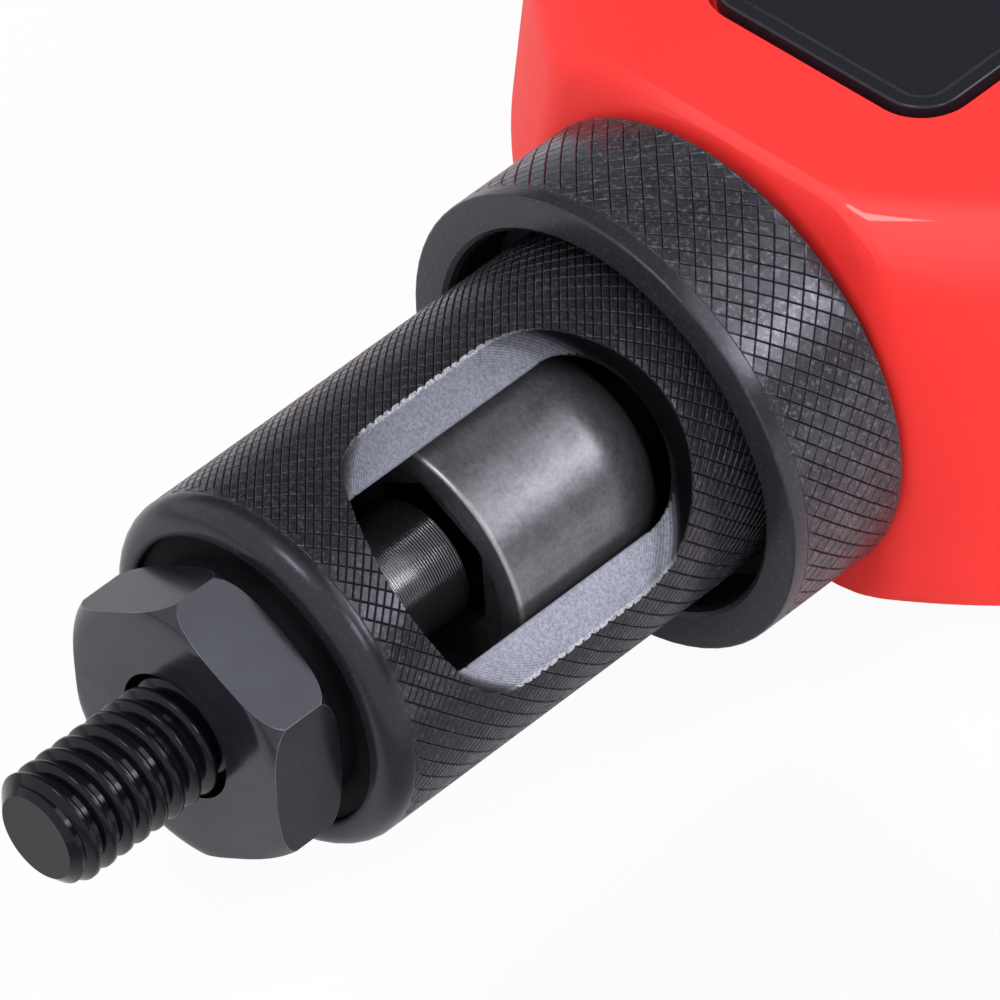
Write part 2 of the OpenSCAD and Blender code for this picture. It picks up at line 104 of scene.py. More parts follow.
# %% Wire class
class Wire:
    """One socket of a node tree. Sums, products and powers of wires add Math nodes."""

    def __init__(self, tree, socket=None):
        self.tree = tree
        self.socket = socket

    def node(self, kind, settings=None, sockets=None, out=0):
        """Adds a node: its type, its settings, then the values or links of its sockets."""
        made = self.tree.nodes.new(kind)
        for name, value in (settings or {}).items():
            setattr(made, name, value)
        for name, value in (sockets or {}).items():
            if isinstance(value, Wire):
                self.tree.links.new(value.socket, made.inputs[name])
            else:
                made.inputs[name].default_value = value
        return Wire(self.tree, made.outputs[out] if made.outputs else None)

    def math(self, operation, first, second=0.0):
        """Adds a Math node."""
        return self.node("ShaderNodeMath", {"operation": operation}, {0: first, 1: second})

    def __add__(self, other):
        return self.math("ADD", self, other)

    __radd__ = __add__

    def __sub__(self, other):
        return self.math("SUBTRACT", self, other)

    def __rsub__(self, other):
        return self.math("SUBTRACT", other, self)

    def __mul__(self, other):
        return self.math("MULTIPLY", self, other)

    __rmul__ = __mul__

    def __pow__(self, other):
        return self.math("POWER", self, other)

    def band(self, low, high):
        """0 below low, 1 above high, and smooth between them; low may be the larger one."""
        return self.node("ShaderNodeMapRange", {"interpolation_type": "SMOOTHSTEP"},
                         {"Value": self, "From Min": low, "From Max": high})

    def blend(self, first, second):
        """Mixes two colours, with this wire as the share of the second."""
        ends = [c if isinstance(c, Wire) else (*c, 1.0) for c in (first, second)]
        return self.node("ShaderNodeMix", {"data_type": "RGBA"},
                         {0: self, 6: ends[0], 7: ends[1]}, out=2)

    def millimetres(self):
        """The point on the piece, as a vector in millimetres."""
        place = self.node("ShaderNodeTexCoord", out="Object")
        return self.node("ShaderNodeVectorMath", {"operation": "SCALE"}, {0: place, "Scale": 1 / MM})

    def parts(self):
        """The three parts of this vector."""
        split = self.node("ShaderNodeSeparateXYZ", sockets={0: self})
        return [Wire(self.tree, socket) for socket in split.socket.node.outputs]

    def noise(self, place, scale, detail=3.0, rough=0.5, stretch=(1, 1, 1)):
        """Cloudy value of about 0.3 to 0.7, with scale in blobs per millimetre."""
        place = self.node("ShaderNodeMapping", sockets={"Vector": place, "Scale": stretch})
        return self.node("ShaderNodeTexNoise", sockets={
            "Vector": place, "Scale": scale, "Detail": detail, "Roughness": rough})

    def bump(self, height, depth):
        """Normal of a surface that rises by depth millimetres where height goes from 0 to 1."""
        return self.node("ShaderNodeBump", sockets={"Height": height, "Distance": depth * MM,
                                                    "Strength": 1.0})


def open_finish(name):
    """A new material with an empty tree, and a wire to build on."""
    material = bpy.data.materials.new(name)
    material.use_nodes = True
    material.node_tree.nodes.clear()
    return material, Wire(material.node_tree)


def close_finish(wire, **sockets):
    """Ends a tree with one Principled shader; underscores in names stand for spaces."""
    named = {name.replace("_", " "): value for name, value in sockets.items()}
    shader = wire.node("ShaderNodeBsdfPrincipled", sockets=named)
    wire.node("ShaderNodeOutputMaterial", sockets={"Surface": shader})


print("shader helpers ready")

# %% [markdown]
# ## Red paint
# The head is a casting under thick red paint with a faint orange peel. In the photograph its colour
# hardly changes, so it is drawn almost matt. Only the rounded edge on the right shows one sharp
# highlight, and a clear coat lies there and fades out to the left and towards the side wall.

# %% Red paint
red_paint, w = open_finish("red_paint")
place = w.millimetres()
x, _, z = place.parts()
glossy_edge = z.band(11.0, 15.0) * x.band(-9.0, -1.0)
cloud = w.noise(place, 0.05, 2.0)
peel = w.noise(place, 0.5, 1.0)
close_finish(w,
             Base_Color=cloud.blend((0.95, 0.034, 0.030), (0.99, 0.042, 0.038)),
             Roughness=0.52 + 0.06 * w.noise(place, 0.3),
             Specular_IOR_Level=0.2,
             Coat_Weight=glossy_edge * 0.7,
             Coat_Roughness=0.05,
             Normal=w.bump(peel, 0.004))
print("finish:", red_paint.name)

# %% [markdown]
# ## Blackened steel
# The nose pieces are steel with a black oxide skin. The skin hides the metal, so the shader is a dark
# colour that is hardly metallic, and a blue tint is given to its reflections. On a knurl the crests are
# rubbed a little brighter than the grooves, and the radius from the nose axis tells which is which without
# any painting. The same radius also makes the bore dark and dull, as painted shade.

# %% Knurled steel
BLUED, UNTINTED = (0.84, 0.86, 1.0, 1.0), (1.0, 1.0, 1.0, 1.0)
PLAIN_RUB = 0.55


def knurled_finish(name, groove_r, crest_r, knurl_front, bore_r, speckle, light, gloss):
    """Black oxide: plain before the knurl, dull in its grooves, rubbed on its crests, and dark and dull
    inside the bore as painted shade.
    """
    material, wire = open_finish(name)
    place = wire.millimetres()
    x, y, z = place.parts()
    radius = (x * x + z * z) ** 0.5
    plain_share = y.band(knurl_front + 0.3, knurl_front - 0.3)
    # Painted shade: inside the bore the crests lose their rub and the steel turns rougher, so it reads as
    # shadow.
    inside = radius.band(bore_r + 0.5, bore_r + 0.1)
    crest = wire.math("MAXIMUM", radius.band(groove_r, crest_r - 0.02), plain_share) * (1 - inside)
    cloud = wire.noise(place, 0.22, 4.0, 0.6)
    grain = wire.noise(place, 3.0, 4.0, 0.7)
    pads = wire.noise(place, 0.9, 1.0)
    worn = 0.45 + 0.35 * cloud.band(0.35, 0.65) + 0.35 * pads.band(0.35, 0.65)
    rub = crest * (worn + plain_share * (PLAIN_RUB - worn))
    specks = crest * grain.band(0.52, 0.66) * (speckle - speckle * 0.8 * plain_share)
    steel = rub.blend((0.008, 0.008, 0.009), light)
    close_finish(wire,
                 Base_Color=specks.blend(steel, (0.20, 0.20, 0.22)),
                 Metallic=0.25 * crest,
                 Roughness=0.42 - 0.26 * rub + 0.06 * grain + 0.3 * inside - 0.08 * plain_share,
                 Specular_IOR_Level=gloss,
                 Specular_Tint=BLUED,
                 Normal=wire.bump(grain, 0.008))
    print("finish:", name)
    return material


# %% [markdown]
# ## Plain metal
# Most other pieces are plain metal, bright, blackened or bronze. They differ only in two colours, in the
# roughness and in how metallic they look, so one function draws them all from clouds and a fine grain.
# The milled flats and the worn barrel have finishes of their own further down.

# %% Plain metal
def steel_finish(name, dark, light, rough, cloud_scale=0.12, grain_depth=0.012, metal=0.9, gloss=0.5):
    """Metal between two colours, with clouds and a fine grain; a blackened one is less than half metal."""
    material, wire = open_finish(name)
    place = wire.millimetres()
    cloud = wire.noise(place, cloud_scale, 5.0, 0.65)
    grain = wire.noise(place, 4.0, 4.0, 0.7)
    share = cloud.band(0.3, 0.7) * 0.7 + grain * 0.5 - 0.1
    close_finish(wire,
                 Base_Color=share.blend(dark, light),
                 Metallic=metal,
                 Specular_IOR_Level=gloss,
                 Specular_Tint=BLUED if metal < 0.5 else UNTINTED,
                 Roughness=rough - 0.08 + 0.16 * grain,
                 Normal=wire.bump(grain, grain_depth))
    print("finish:", name)
    return material


bright_steel = steel_finish("bright_steel", (0.30, 0.30, 0.32), (0.56, 0.56, 0.58), rough=0.30)
# Painted shade: the drawbar inside the nose is coloured very dark so it reads as shadow.
shadow_dark_steel = steel_finish("shadow_dark_steel", (0.020, 0.020, 0.024), (0.050, 0.050, 0.056), rough=0.45)
bronze = steel_finish("bronze", (0.33, 0.19, 0.07), (0.58, 0.37, 0.15), rough=0.34)
black_steel = steel_finish("black_steel", (0.010, 0.010, 0.013), (0.024, 0.025, 0.033), rough=0.17,
                           cloud_scale=0.16, grain_depth=0.002, metal=0.12, gloss=0.62)
shiny_black = steel_finish("shiny_black_steel", (0.002, 0.002, 0.003), (0.005, 0.005, 0.007), rough=0.11,
                           cloud_scale=0.2, grain_depth=0.001, metal=0.0, gloss=0.26)
# A near-black, dull finish that is painted shade, for the bore of the sleeve and the neck of the anvil.
painted_shade_black = steel_finish("painted_shade_black_steel", (0.004, 0.004, 0.005), (0.008, 0.008, 0.010), rough=0.60,
                          cloud_scale=0.2, grain_depth=0.004, metal=0.0, gloss=0.08)
lever_black = steel_finish("lever_black", (0.012, 0.012, 0.014), (0.030, 0.030, 0.034), rough=0.42,
                           cloud_scale=0.3, grain_depth=0.02, metal=0.1)

# %% [markdown]
# ## Piece helpers
# A piece starts as a bmesh in millimetres. `blank` puts it into the scene so that other blanks can be
# cut out of it, and `dress` shrinks it to metres, shades it smooth between its sharp edges and hands it
# to its CAD body. The exact Boolean solver needs closed skins, which spin and extrude give.

# %% Piece helpers
MERGE = 1e-3
BEVEL_SEGMENTS = 3


def blank(name, mesh_draft):
    """An object in millimetres from a bmesh whose faces all point outwards."""
    bmesh.ops.remove_doubles(mesh_draft, verts=mesh_draft.verts, dist=MERGE)
    bmesh.ops.recalc_face_normals(mesh_draft, faces=mesh_draft.faces)
    mesh = bpy.data.meshes.new(name)
    mesh_draft.to_mesh(mesh)
    mesh_draft.free()
    piece = bpy.data.objects.new(name, mesh)
    bpy.context.scene.collection.objects.link(piece)
    return piece


def carve(piece, *tools, how="DIFFERENCE"):
    """Cuts the tools out of a piece, or keeps what they share, and throws the tools away."""
    for tool in tools:
        change = piece.modifiers.new("carve", "BOOLEAN")
        change.solver = "EXACT"
        change.operation = how
        change.object = tool
    graph = bpy.context.evaluated_depsgraph_get()
    carved = bpy.data.meshes.new_from_object(piece.evaluated_get(graph))
    piece.modifiers.clear()
    piece.data = carved
    for tool in tools:
        bpy.data.objects.remove(tool)


def dress(piece, finishes, body, stands_for=(), sharp=32.0, soften=0.0):
    """Shrinks a blank to metres, shades it, and makes it ride on a CAD body.

    The last finish also goes on the softened edges."""
    mesh = piece.data
    mesh.transform(Matrix.Scale(MM, 4))
    for place, finish in enumerate(finishes):
        if place < len(mesh.materials):
            mesh.materials[place] = finish
        else:
            mesh.materials.append(finish)
    mesh.polygons.foreach_set("use_smooth", [True] * len(mesh.polygons))
    mesh.set_sharp_from_angle(angle=math.radians(sharp))
    if soften:
        edge = piece.modifiers.new("soft_edge", "BEVEL")
        edge.width = soften * MM
        edge.segments = BEVEL_SEGMENTS
        edge.limit_method = "ANGLE"
        edge.angle_limit = math.radians(sharp)
        edge.harden_normals = True
        edge.material = len(finishes) - 1
    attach(piece, body)
    if stands_for:
        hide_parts(*stands_for)
    print("piece:", piece.name, len(mesh.polygons), "faces")
    return piece


def arc(centre, radius, start, end, steps):
    """Points of an arc in a plane, with angles in degrees."""
    angles = [math.radians(start + (end - start) * i / steps) for i in range(steps + 1)]
    return [(centre[0] + radius * math.cos(a), centre[1] + radius * math.sin(a)) for a in angles]


def turned(draft, profile, steps=120, closed=True):
    """Spins points of radius and station round the nose axis."""
    line = [draft.verts.new((r, station, 0.0)) for r, station in profile]
    pairs = list(zip(line, line[1:]))
    if closed:
        pairs.append((line[-1], line[0]))
    edges = [draft.edges.new(pair) for pair in pairs]
    bmesh.ops.spin(draft, geom=line + edges, cent=(0, 0, 0), axis=(0, 1, 0), dvec=(0, 0, 0),
                   angle=2 * math.pi, steps=steps, use_merge=True)
    bmesh.ops.remove_doubles(draft, verts=draft.verts, dist=1e-4)
    return draft


def rod(name, radius, front, rear, steps=96):
    """A plain cutter along the nose axis."""
    return blank(name, turned(bmesh.new(), [(0, front), (radius, front), (radius, rear), (0, rear)],
                              steps, closed=False))


print("piece helpers ready")

# %% [markdown]
# ## Knurl
# A knurl is two families of helical grooves, here at 45 degrees to the axis. Flat, that is a grid whose
# squares are poked, so that they split into diamonds when the old edges are dissolved. The grid is rolled
# into a tube and closed before that, so no seam shows. On the sleeve one family has twice as many
# grooves, so its diamonds are halved along one direction. Two insets with a depth then leave the grooves
# between raised pads, the second one for their worn edges, and the grooves run out at both ends.

# %% Knurl
KNURL_INSETS = ((0.6, 0.8), (0.4, 0.2))


def knurl_tube(crest_r, depth, groove, front, rear, around, along, halved):
    """A knurl between two stations, as a bmesh that is open at both ends."""
    groove_r = crest_r - depth
    draft = bmesh.new()
    bmesh.ops.create_grid(draft, x_segments=around, y_segments=along, size=0.5)
    for vert in draft.verts:
        turn_at = 2 * math.pi * (vert.co.x + 0.5)
        station = front + (rear - front) * (vert.co.y + 0.5)
        vert.co = (groove_r * math.cos(turn_at), station, groove_r * math.sin(turn_at))
    bmesh.ops.remove_doubles(draft, verts=draft.verts, dist=MERGE)
    squares = [e for e in draft.edges if not e.is_boundary]
    bmesh.ops.poke(draft, faces=draft.faces[:])
    bmesh.ops.dissolve_edges(draft, edges=squares, use_verts=False)
    if halved:
        slopes = [e for e in draft.edges if not e.is_boundary and helix_way(e) < 0]
        bmesh.ops.subdivide_edges(draft, edges=slopes, cuts=1, use_grid_fill=True)
    bmesh.ops.recalc_face_normals(draft, faces=draft.faces)
    first = draft.faces[:][0]
    if first.normal.dot(first.calc_center_median()) < 0:
        bmesh.ops.reverse_faces(draft, faces=draft.faces)
    pads = draft.faces[:]
    for wide, high in KNURL_INSETS:
        bmesh.ops.inset_individual(draft, faces=pads, thickness=groove * wide, depth=depth * high,
                                   use_even_offset=True)
    rims = [v for v in draft.verts if v.is_boundary]
    swell = crest_r / groove_r
    bmesh.ops.scale(draft, vec=(swell, 1, swell), verts=rims)
    return draft


def helix_way(edge):
    """Above zero on an edge that climbs one way round the axis, below zero on the other."""
    a, b = (v.co for v in edge.verts)
    return (a.x * b.z - a.z * b.x) * (b.y - a.y)


print("knurl helper ready")

# %% [markdown]
# ## Nose sleeve
# The sleeve is a knurled tube whose window is one plunge of a big end mill with rounded corners, so the
# cut has a flat floor with two long lands. The plain faces are spun from a profile with as many steps as
# the knurl has squares, so that both skins share their rings of points, and one Boolean sinks the cutter.
# The cutter's faces carry the second material into the cut, and the faces of the bore get the third, a
# near-black finish that is painted shade.

# %% Milled steel
SLEEVE_R, SLEEVE_BORE, SLEEVE_FRONT = 12.34, 10.2, 6.4
WINDOW_Y, WINDOW_R, WINDOW_FLOOR, WINDOW_CORNER = 23.15, 11.85, 8.1, 1.6
CUTTER_L, ARC_PITCH = 12, 0.17


def milled_finish():
    """Grainy steel with the cutter's arcs near the ends and a bright burr along the outer edge, with
    painted shade on the walls and by the bore and painted light on the lower land.
    """
    material, wire = open_finish("milled_steel")
    place = wire.millimetres()
    x, y, z = place.parts()
    side = (x - z) * math.sqrt(0.5)
    run = y - WINDOW_Y
    reach = (side * side + run * run) ** 0.5
    radius = (x * x + z * z) ** 0.5
    grain = wire.noise(place, 4.6, 6.0, 0.75)
    wave = wire.math("SINE", reach * (2 * math.pi / ARC_PITCH) + grain * 5)
    arcs = (wave * 0.5 + 0.5) * reach.band(7.5, 10.5)
    # Painted shade and painted light: the walls of the cut and the land next to the bore are darkened as
    # shade, and the lands are lightened towards the lower side as if lit more.
    floor_unshaded = ((x + z) * math.sqrt(0.5)).band(WINDOW_FLOOR + 1.2, WINDOW_FLOOR + 0.1)
    outside_bore_unshaded = radius.band(SLEEVE_BORE - 0.1, SLEEVE_BORE + 0.1)
    mottle = 0.45 + 0.55 * grain.band(0.32, 0.68)
    painted_light_side = 0.60 + 0.40 * side.band(-9, 9)
    tone = floor_unshaded * outside_bore_unshaded * mottle * painted_light_side * (1 - 0.38 * arcs)
    burr = radius.band(SLEEVE_R - 0.27, SLEEVE_R - 0.21) * (0.05 + 0.6 * grain.band(0.4, 0.6))
    steel = tone.blend((0.012, 0.012, 0.015), (0.235, 0.24, 0.298))
    close_finish(wire,
                 Base_Color=burr.blend(steel, (0.36, 0.36, 0.39)),
                 Metallic=0.95,
                 Roughness=0.36 + 0.16 * grain,
                 Normal=wire.bump(grain * 0.8 + arcs * 0.2, 0.016))
    print("finish:", material.name)
    return material


milled_steel = milled_finish()

# %% Nose sleeve
KNURL_DEPTH = 0.12
LIP_R, MOUTH_R = 1.7, 0.25
POCKET_CENTRE, POCKET_R, POCKET_TURN = (1.7, 32.0), 8.5, 49.7
TAIL_BORE, TAIL_R, TAIL_FRONT, TAIL_REAR = 7.2, 12.0, 41.4, 57.4
knurl_front, knurl_rear, sleeve_steps = 8.3, 40.7, 53
draft = knurl_tube(SLEEVE_R, KNURL_DEPTH, groove=0.095, front=knurl_front, rear=knurl_rear,
                   around=sleeve_steps, along=22, halved=True)
profile = [(SLEEVE_R, knurl_front)]
profile += arc((SLEEVE_R - LIP_R, SLEEVE_FRONT + LIP_R), LIP_R, 0, -90, 10)
profile += arc((SLEEVE_BORE + MOUTH_R, SLEEVE_FRONT + MOUTH_R), MOUTH_R, -90, -180, 3)
profile += arc(POCKET_CENTRE, POCKET_R, 0, POCKET_TURN, 12)
profile += [(TAIL_BORE, TAIL_REAR), (TAIL_R, TAIL_REAR), (TAIL_R, TAIL_FRONT), (SLEEVE_R, TAIL_FRONT),
            (SLEEVE_R, knurl_rear)]
turned(draft, profile, sleeve_steps, closed=False)
sleeve = blank("knurled_nose_sleeve", draft)

corner_at = (WINDOW_R - WINDOW_CORNER, WINDOW_FLOOR + WINDOW_CORNER)
profile = [(0, WINDOW_FLOOR)] + arc(corner_at, WINDOW_CORNER, -90, 0, 8)
profile += [(WINDOW_R, WINDOW_FLOOR + CUTTER_L), (0, WINDOW_FLOOR + CUTTER_L)]
draft = turned(bmesh.new(), profile, 180, closed=False)
tilt = Matrix.Rotation(math.radians(45), 3, "Y") @ Matrix.Rotation(math.radians(90), 3, "X")
bmesh.ops.rotate(draft, cent=(0, 0, 0), matrix=tilt, verts=draft.verts)
bmesh.ops.translate(draft, vec=(0, WINDOW_Y, 0), verts=draft.verts)
cutter = blank("window_cutter", draft)
sleeve_steel = knurled_finish("knurled_sleeve_steel", SLEEVE_R - KNURL_DEPTH, SLEEVE_R, knurl_front,
                              SLEEVE_BORE, speckle=0.25, light=(0.022, 0.022, 0.028), gloss=0.46)
sleeve_finishes = [sleeve_steel, milled_steel, painted_shade_black]
IN_CUT, IN_BORE = 1, 2
for piece in (sleeve, cutter):
    for finish in sleeve_finishes:
        piece.data.materials.append(finish)
cutter.data.polygons.foreach_set("material_index", [IN_CUT] * len(cutter.data.polygons))
carve(sleeve, cutter)
# The faces of the bore get the near-black painted shade.
for face in sleeve.data.polygons:
    if math.hypot(face.center.x, face.center.z) < SLEEVE_BORE + 0.02:
        face.material_index = IN_BORE
print("faces of the cut and the bore:", sum(face.material_index > 0 for face in sleeve.data.polygons))
dress(sleeve, sleeve_finishes, "nose", ["nose_sleeve"], sharp=25)

# %% [markdown]
# ## Lock ring
# The ring jams the sleeve against the head. Its knurl has plain diamonds, and in front of it lie a plain
# band, a flat rim and a counterbore round the sleeve.

# %% Lock ring
LOCK_R, LOCK_FRONT, LOCK_REAR = 16.4, 37.4, 47.4
RIM_ROUND, COUNTERBORE_R, COUNTERBORE_REAR, THREAD_BORE = 0.2, 13.6, 42.0, 12.05
ring_front, ring_rear, ring_steps = LOCK_FRONT + 1.2, LOCK_REAR - 0.4, 70
draft = knurl_tube(LOCK_R, KNURL_DEPTH, groove=0.085, front=ring_front, rear=ring_rear,
                   around=ring_steps, along=6, halved=False)
profile = [(LOCK_R, ring_front)]
profile += arc((LOCK_R - RIM_ROUND, LOCK_FRONT + RIM_ROUND), RIM_ROUND, 0, -90, 4)
profile += [(14.1, LOCK_FRONT), (13.8, LOCK_FRONT + 0.22), (COUNTERBORE_R, LOCK_FRONT + 0.6),
            (COUNTERBORE_R, COUNTERBORE_REAR), (THREAD_BORE, COUNTERBORE_REAR), (THREAD_BORE, LOCK_REAR)]
profile += [(LOCK_R - 0.45, LOCK_REAR), (LOCK_R, LOCK_REAR - 0.3), (LOCK_R, ring_rear)]
turned(draft, profile, ring_steps, closed=False)
lock_ring = blank("knurled_lock_ring", draft)
ring_steel = knurled_finish("knurled_ring_steel", LOCK_R - KNURL_DEPTH, LOCK_R, ring_front, bore_r=13.0,
                            speckle=0.5, light=(0.044, 0.043, 0.053), gloss=0.46)
dress(lock_ring, [ring_steel], "lock_ring", ["lock_ring"], sharp=25)

# %% [markdown]
# ## Mandrel
# The mandrel's thread is a screw sweep: spinning one tooth while a small step along the axis is added
# each time. The sweep is cut flat at both ends, filled, and then shared with a turned blank whose tip
# is chamfered, as the real stud is turned before the thread is rolled. Behind the thread the shank has
# fine turning rings, drawn as a row of small rounded ridges in its profile.

# %% Mandrel
THREAD_R, PITCH, TIP = 3.97, 1.411, -11.75
THREAD_DEPTH, ROUND, CREST_EASE = 0.62, 0.07, 0.09
SHANK_R, SHANK_FRONT, RING_PITCH, RING_COUNT = 4.23, 9.0, 0.2, 61
thread_front, thread_rear, turn_steps = TIP - 3.0, 11.0, 72
crest, flank = 0.46, (THREAD_DEPTH - ROUND) * math.tan(math.radians(30))
root_r, shoulder_r = THREAD_R - THREAD_DEPTH, THREAD_R - ROUND
tooth = [(shoulder_r, 0.0), (THREAD_R, CREST_EASE), (THREAD_R, crest - CREST_EASE), (shoulder_r, crest),
         (root_r, crest + flank), (root_r, PITCH - flank), (shoulder_r, PITCH)]
draft = bmesh.new()
line = [draft.verts.new((r, thread_front + along, 0.0)) for r, along in tooth]
edges = [draft.edges.new(pair) for pair in zip(line, line[1:])]
turns = math.ceil((thread_rear - thread_front) / PITCH) + 2
bmesh.ops.spin(draft, geom=line + edges, cent=(0, 0, 0), axis=(0, 1, 0),
               dvec=(0, PITCH / turn_steps, 0), angle=2 * math.pi * turns, steps=turn_steps * turns)
bmesh.ops.remove_doubles(draft, verts=draft.verts, dist=MERGE)
for station, way in ((TIP - 1.0, -1), (thread_rear, 1)):
    whole = draft.verts[:] + draft.edges[:] + draft.faces[:]
    bmesh.ops.bisect_plane(draft, geom=whole, plane_co=(0, station, 0), plane_no=(0, way, 0),
                           clear_outer=True)
    rim = [e for e in draft.edges
           if e.is_boundary and all(abs(v.co.y - station) < MERGE for v in e.verts)]
    bmesh.ops.edgenet_fill(draft, edges=rim)
thread = blank("mandrel_thread_sweep", draft)
profile = [(0, TIP), (THREAD_R - 1.05, TIP), (THREAD_R - 0.02, TIP + 0.95),
           (THREAD_R + 0.5, TIP + 1.4), (THREAD_R + 0.5, SHANK_FRONT), (0, SHANK_FRONT)]
draft = turned(bmesh.new(), profile, 144, closed=False)
carve(thread, blank("mandrel_blank", draft), how="INTERSECT")
dress(thread, [shiny_black], "drawbar", ["mandrel"], sharp=40)

ridge = [(-0.05, 0.0), (-0.02, 0.025), (0.0, 0.06), (0.0, 0.10), (-0.02, 0.135), (-0.05, 0.16)]
profile = [(0, SHANK_FRONT)]
for i in range(RING_COUNT):
    profile += [(SHANK_R + rise, SHANK_FRONT + RING_PITCH * i + along) for rise, along in ridge]
shank_rear = SHANK_FRONT + RING_PITCH * RING_COUNT
profile += [(SHANK_R, shank_rear), (0, shank_rear)]
shank = blank("mandrel_shank", turned(bmesh.new(), profile, 72, closed=False))
shank_steel = steel_finish("ringed_shank_steel", (0.15, 0.15, 0.165), (0.26, 0.26, 0.285), rough=0.22,
                           cloud_scale=0.3, grain_depth=0.002)
dress(shank, [shank_steel], "drawbar", sharp=50)

# %% [markdown]
# ## Anvil
# The anvil is a hexagon turned to a cone at its front, which leaves a round face and curved corners. It is
# a six-sided prism shared with a turned blank, bored for the mandrel, with a soft bevel on the edges that
# carries a second, more worn finish. A neck behind it fills the mouth of the sleeve, and its near-black
# finish is painted shade.

# %% Anvil
HEX_AF, HEX_T, FACE_R, BORE_R = 17.5, 5.5, 8.45, 4.43
NECK_R, NECK_L, FLANGE_R, FLANGE_REAR = 8.55, 7.0, 10.15, 11.0
hex_r = HEX_AF / math.sqrt(3)


def hexagon(name, across_flats, front, rear):
    """A hexagonal prism along the nose axis with a corner towards the badge side."""
    made = bmesh.new()
    bmesh.ops.create_cone(made, cap_ends=True, segments=6, radius1=across_flats / math.sqrt(3),
                          radius2=across_flats / math.sqrt(3), depth=rear - front)
    corner = max(made.verts, key=lambda v: v.co.y).co
    spin = math.atan2(corner.x, corner.y)
    for turning in (Matrix.Rotation(spin, 3, "Z"), Matrix.Rotation(math.radians(90), 3, "X")):
        bmesh.ops.rotate(made, cent=(0, 0, 0), matrix=turning, verts=made.verts)
    bmesh.ops.translate(made, vec=(0, (front + rear) / 2, 0), verts=made.verts)
    return blank(name, made)


anvil = hexagon("anvil_hexagon", HEX_AF, 0, HEX_T)
corner = hex_r + 0.05 - FACE_R
profile = [(0, 0), (FACE_R, 0)] + arc((FACE_R, corner), corner, -75, 0, 9)
profile += arc((FACE_R, HEX_T - corner), corner, 0, 75, 9) + [(FACE_R, HEX_T), (0, HEX_T)]
draft = turned(bmesh.new(), profile, 144, closed=False)
carve(anvil, blank("anvil_blank", draft), how="INTERSECT")
carve(anvil, rod("anvil_bore", BORE_R, -1, 12))
worn_edge = steel_finish("worn_edge_steel", (0.014, 0.014, 0.018), (0.26, 0.26, 0.30), rough=0.30,
                         cloud_scale=0.25, grain_depth=0.002, metal=0.5)
dress(anvil, [black_steel, worn_edge], "nose", ["anvil"], sharp=16, soften=0.18)
# The neck is near black, as painted shade.
neck_front = HEX_T - 0.2
profile = [(BORE_R, neck_front), (NECK_R, neck_front), (NECK_R, NECK_L), (FLANGE_R, NECK_L),
           (FLANGE_R, FLANGE_REAR), (BORE_R, FLANGE_REAR)]
neck = blank("anvil_neck", turned(bmesh.new(), profile))
dress(neck, [painted_shade_black], "nose")

# %% [markdown]
# ## Release barrel
# The barrel that the thumb draws back is a turned cup with a round tail. Its finish is rubbed to grey
# steel, and the front edge is worn bright all round.

# %% Release barrel
BARREL_R, BARREL_FRONT, DOME_Y, DOME_R = 9.4, 20.5008, 29.7008, 7.0
EDGE_ROUND, CUP_R, CUP_FLOOR, CUP_ROUND = 0.35, 7.5, 21.7, 0.25
SPRING_BORE, BARREL_REAR, FLOOR_REAR, DRIVE_AF, PILOT_R = 6.61, 35.2, 24.5, 10.1, 2.0
profile = [(CUP_R, CUP_FLOOR), (CUP_R, BARREL_FRONT + CUP_ROUND)]
profile += arc((CUP_R + CUP_ROUND, BARREL_FRONT + CUP_ROUND), CUP_ROUND, 180, 270, 3)
profile += [(8.6, BARREL_FRONT)]
profile += arc((BARREL_R - EDGE_ROUND, BARREL_FRONT + 0.1 + EDGE_ROUND), EDGE_ROUND, -80, 0, 6)
profile += arc((BARREL_R - DOME_R, DOME_Y), DOME_R, 0, 53.0, 18)
profile += [(SPRING_BORE, BARREL_REAR), (SPRING_BORE, FLOOR_REAR), (PILOT_R, FLOOR_REAR),
            (PILOT_R, CUP_FLOOR)]
barrel = blank("release_barrel", turned(bmesh.new(), profile, 144))
carve(barrel, hexagon("drive_hole", DRIVE_AF, 21, 25))


def barrel_finish():
    """Worn gunmetal with blotches, rubbed streaks and a bright front edge."""
    material, wire = open_finish("worn_barrel_steel")
    place = wire.millimetres()
    x, y, z = place.parts()
    radius = (x * x + z * z) ** 0.5
    edge = y.band(BARREL_FRONT + 0.55, BARREL_FRONT + 0.3) * radius.band(BARREL_R - 0.25, BARREL_R - 0.1)
    cloud = wire.noise(place, 0.16, 6.0, 0.7)
    speck = wire.noise(place, 2.6, 6.0, 0.8)
    streak = wire.noise(place, 1.0, 3.0, 0.6, stretch=(1.0, 0.12, 1.0))
    tone = cloud.band(0.28, 0.72) * 0.45 + speck.band(0.3, 0.7) * 0.35 + streak * 0.2
    steel = tone.blend((0.046, 0.045, 0.052), (0.205, 0.202, 0.232))
    close_finish(wire,
                 Base_Color=(edge * (0.1 + 1.1 * speck)).blend(steel, (0.40, 0.40, 0.40)),
                 Metallic=0.65,
                 Roughness=0.25 + 0.14 * speck,
                 Normal=wire.bump(speck * 0.6 + streak * 0.4, 0.010))
    print("finish:", material.name)
    return material


dress(barrel, [barrel_finish()], "release", ["release_sleeve"], sharp=35)

# %% [markdown]
# ## Release spring
# The spring that holds the barrel forward is a coil of round wire between the barrel and the drawbar. A
# small ring of points is spun with a step along the axis, as the thread is. It sits on the drawbar.

